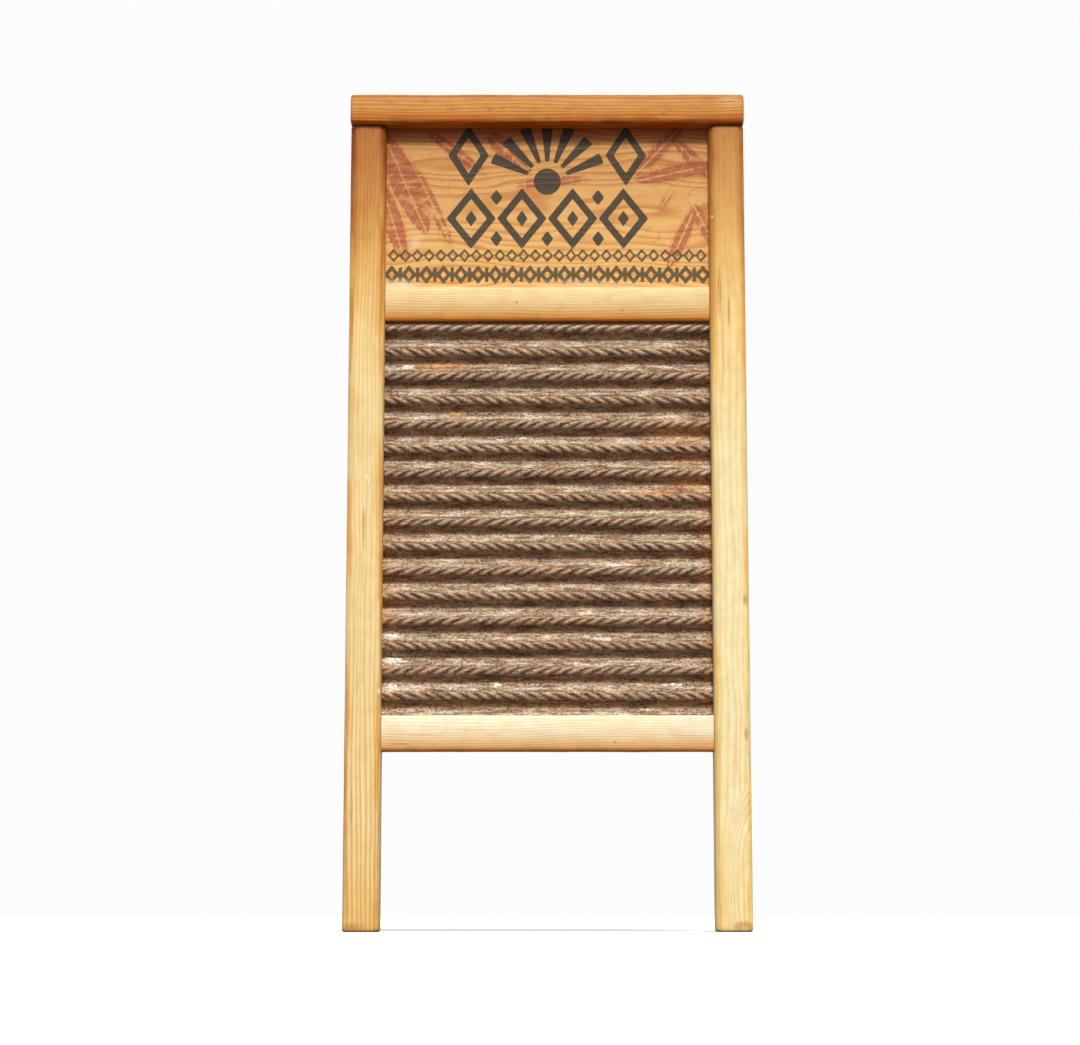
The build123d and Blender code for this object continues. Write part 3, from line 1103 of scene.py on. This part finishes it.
def wave(z):
    """Y of the sheet's centre line and its slope dY/dZ: arcs joined by straight flanks.

    Also how far each height is below the nearest ridge, and that ridge's number.
    """
    step = (TOP_RIDGE - z) / RIDGE_PITCH
    ridge = np.round(step)
    below = (step - ridge) * RIDGE_PITCH
    away = np.abs(below)
    half = RIDGE_PITCH / 2
    arc = RIDGE_RADIUS * math.sin(FLANK_ANGLE)
    drop = RIDGE_RADIUS * (1 - math.cos(FLANK_ANGLE))
    beyond = half - away
    ridge_root = np.sqrt(np.clip(RIDGE_RADIUS ** 2 - away ** 2, 0.01, None))
    valley_root = np.sqrt(np.clip(RIDGE_RADIUS ** 2 - beyond ** 2, 0.01, None))
    on_ridge = away < arc
    in_valley = beyond < arc
    flank = -WAVE_SWING + drop + (away - arc) * math.tan(FLANK_ANGLE)
    y = np.where(on_ridge, RIDGE_RADIUS - WAVE_SWING - ridge_root, flank)
    y = np.where(in_valley, WAVE_SWING - RIDGE_RADIUS + valley_root, y)
    slope = np.where(on_ridge, away / ridge_root, math.tan(FLANK_ANGLE))
    slope = np.where(in_valley, beyond / valley_root, slope)
    return y, slope * -np.sign(below), below, ridge


def flutes(x, below, ridge):
    """Phase, band and height of the slanted flutes in each ridge, leaning by turns."""
    lean = np.where(ridge % 2 == 0, 1.0, -1.0)
    drift = 0.16 * np.sin(x * 0.07 + ridge * 2.1) + 0.09 * np.sin(x * 0.23 + ridge * 5.3)
    phase = (lean * x + below / math.tan(FLUTE_ANGLE)) / FLUTE_SPACING + ridge * 0.37 + drift
    share = phase - np.floor(phase)
    height = 1 - np.abs(2 * share - 1) ** 2.4
    strength = 0.85 + 0.22 * np.sin(x * 0.11 + ridge * 3.7)
    band = smooth(below, -1.6, -0.7) * smooth(-below, -2.9, -1.9)
    return phase, band, FLUTE_HEIGHT * strength * band * (height - 0.5)


def sheet_rows(low, high):
    """Heights of the mesh rows, close together on the ridges."""
    rows = [low, high]
    for ridge in range(-1, RIDGE_COUNT + 2):
        centre = TOP_RIDGE - ridge * RIDGE_PITCH
        rows += [centre - below for below in RIDGE_ROWS + VALLEY_ROWS]
    rows = sorted(z for z in rows if low <= z <= high)
    if len(rows) % 2 == 0:
        rows.insert(1, (rows[0] + rows[1]) / 2)
    return np.array(rows)


def sheet_faces(rows, wide, back_rows, slim):
    """Faces of a closed sheet whose back has half as many rows and columns as its front."""
    faces = grid_faces(rows - 1, wide)
    base = rows * wide
    for row in range(back_rows - 1):
        for column in range(slim - 1):
            first = base + row * slim + column
            faces.append((first, first + slim, first + slim + 1, first + 1))
    top = (rows - 1) * wide
    top_back = base + (back_rows - 1) * slim
    for column in range(slim - 1):
        front = [2 * column + k for k in range(3)]
        faces.append((*front[::-1], base + column, base + column + 1))
        faces.append((*(top + k for k in front), top_back + column + 1, top_back + column))
    for row in range(back_rows - 1):
        left = [(2 * row + k) * wide for k in range(3)]
        first = base + row * slim
        faces.append((*left, first + slim, first))
        right = [place + wide - 1 for place in left]
        faces.append((*right[::-1], first + slim - 1, first + 2 * slim - 1))
    return faces


def make_sheet():
    low, high = box_mm("rubbing_sheet")
    rows = sheet_rows(low[2] + SHEET_END_GAP, high[2] - SHEET_END_GAP)
    columns = np.linspace(low[0], high[0], FRONT_COLUMNS + 1)
    x, z = np.meshgrid(columns, rows)
    y, slope, below, ridge = wave(z)
    length = np.sqrt(1 + slope ** 2)
    normal_y, normal_z = -1 / length, slope / length
    phase, band, press = flutes(x, below, ridge)
    half = SHEET_THICKNESS / 2
    front = np.stack([x, y + normal_y * (half + press), z + normal_z * (half + press)], axis=-1)
    back = np.stack([x, y - normal_y * (half - press), z - normal_z * (half - press)], axis=-1)
    back = back[::2, ::2]
    faces = sheet_faces(*front.shape[:2], *back.shape[:2])
    vertices = np.concatenate([front.reshape(-1, 3), back.reshape(-1, 3)])
    sheet = mesh_object("rubbing_sheet_metal", vertices, faces)
    # lit_band: the upper flank of each ridge, which faces the key light; the metal paints it bright as
    # painted light.
    lit = smooth(-below, 1.2, 2.7) * smooth(below, -7.1, -2.9)
    # shade_band: the lower flank under each ridge and the valley, painted dark in the metal as dirt and
    # painted shade.
    down = np.where(below < -1, below + RIDGE_PITCH, below)
    shade = smooth(down, 1.8, 3.2) * (0.64 * smooth(-down, -5.8, -4.6) + 0.36 * smooth(-down, -9.4, -7.8))
    fields = {"flute": phase, "flute_band": band, "lit_band": lit, "shade_band": shade}
    fields["crest_low"] = smooth(below, -0.7, 1.4) * smooth(-below, -7.4, -6.0)
    fields["rust"] = patches(x, z, RUST_SPOTS)
    fields["lime"] = patches(x, z, LIME_SPOTS)
    for name, values in fields.items():
        set_attribute(sheet, name, np.concatenate([values.ravel(), values[::2, ::2].ravel()]))
    settle(sheet, "rubbing_sheet", sheet_metal(), 80)


make_sheet()

# ======================== the nails
NAIL_RADIUS = 1.0
NAIL_TIP = 3.0
NAIL_RECESS = 0.25
NAIL_PROFILE = (
    (0.0, -0.12),
    (0.9, -0.10),
    (1.5, -0.05),
    (1.85, -0.12),
    (2.0, -0.30),
    (1.9, -0.62),
    (NAIL_RADIUS, -0.95),
    (NAIL_RADIUS, NAIL_TIP - NAIL_LENGTH + NAIL_RECESS),
    (0.0, -NAIL_LENGTH + NAIL_RECESS + 0.05),
)


def make_nails(node, heads, sides=20):
    """Lathe-turned nails with their heads just below the wood's surface."""
    vertices = []
    faces = []
    for head, direction in heads:
        turn = Vector(direction).to_track_quat("Z", "Y")
        start = Vector(head) - Vector(direction) * NAIL_RECESS
        base = len(vertices)
        ring_points = NAIL_PROFILE[1:-1]
        vertices.append(start + turn @ Vector((0, 0, NAIL_PROFILE[0][1])))
        for radius, height in ring_points:
            for k in range(sides):
                angle = 2 * math.pi * k / sides
                local = Vector((radius * math.cos(angle), radius * math.sin(angle), height))
                vertices.append(start + turn @ local)
        vertices.append(start + turn @ Vector((0, 0, NAIL_PROFILE[-1][1])))
        for k in range(sides):
            following = (k + 1) % sides
            faces.append((base, base + 1 + k, base + 1 + following))
            for level in range(len(ring_points) - 1):
                upper = base + 1 + level * sides
                lower = upper + sides
                faces.append((upper + k, lower + k, lower + following, upper + following))
            final = base + 1 + (len(ring_points) - 1) * sides
            faces.append((final + k, final + sides, final + following))
    nails = mesh_object(node + "_steel", [tuple(v) for v in vertices], faces)
    settle(nails, node, steel, 50)


steel = nail_steel()
rail_top = box_mm("top_rail")[1][2]
make_nails("top_rail_nails", [((x, y, rail_top), (0, 0, 1)) for x in NAIL_X for y in NAIL_Y])
for bar in ("upper_crossbar", "lower_crossbar"):
    bar_low, bar_high = box_mm(bar)
    nail_height = (bar_low[2] + bar_high[2]) / 2
    bar_heads = [((side * BOARD_WIDTH / 2, 0, nail_height), (side, 0, 0)) for side in (-1, 1)]
    make_nails(bar + "_nails", bar_heads)
